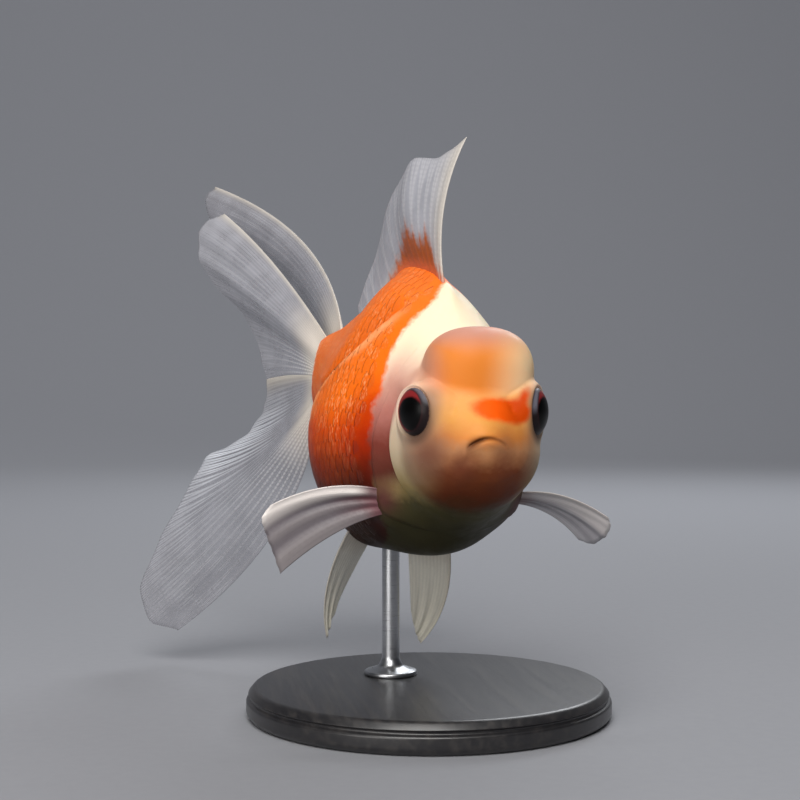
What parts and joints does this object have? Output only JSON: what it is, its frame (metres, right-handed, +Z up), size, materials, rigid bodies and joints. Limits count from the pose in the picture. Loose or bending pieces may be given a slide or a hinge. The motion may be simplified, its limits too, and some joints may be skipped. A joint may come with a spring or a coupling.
{
  "type": "oranda goldfish model",
  "caption": "Life-size orange and white fancy goldfish with a fleshy head cap and long flowing fins, turning to its right, held on a rod above a round base.",
  "frame": {"origin": "middle of the round base's underside", "axes": "+Z up; the fish's head faces -Y, so its left side is towards +X and its tail towards +Y"},
  "size_m": [0.0779, 0.1092, 0.0969],
  "materials": {
    "skin": "wet scaled skin, orange and white",
    "fin": "translucent rayed membrane",
    "eye": "clear gloss over black and gold",
    "base": "satin black lacquer",
    "rod": "fine brushed"
  },
  "bodies": {
    "root": {"head": "skin", "lower_jaw": "skin", "gill_cover_left": "skin", "gill_cover_right": "skin", "wen": "skin", "trunk": "skin", "tail_stem": "skin", "eye_left": "eye", "eye_right": "eye", "stand_base": "base", "stand_rod": "rod", "dorsal_fin": "fin", "pectoral_fin_right": "fin", "pectoral_fin_left": "fin", "pelvic_fin_right": "fin", "pelvic_fin_left": "fin", "anal_fin_right": "fin", "anal_fin_left": "fin", "tail_fin_right_upper": "fin", "tail_fin_right_lower": "fin", "tail_fin_left_upper": "fin", "tail_fin_left_lower": "fin"}
  },
  "joints": []
}
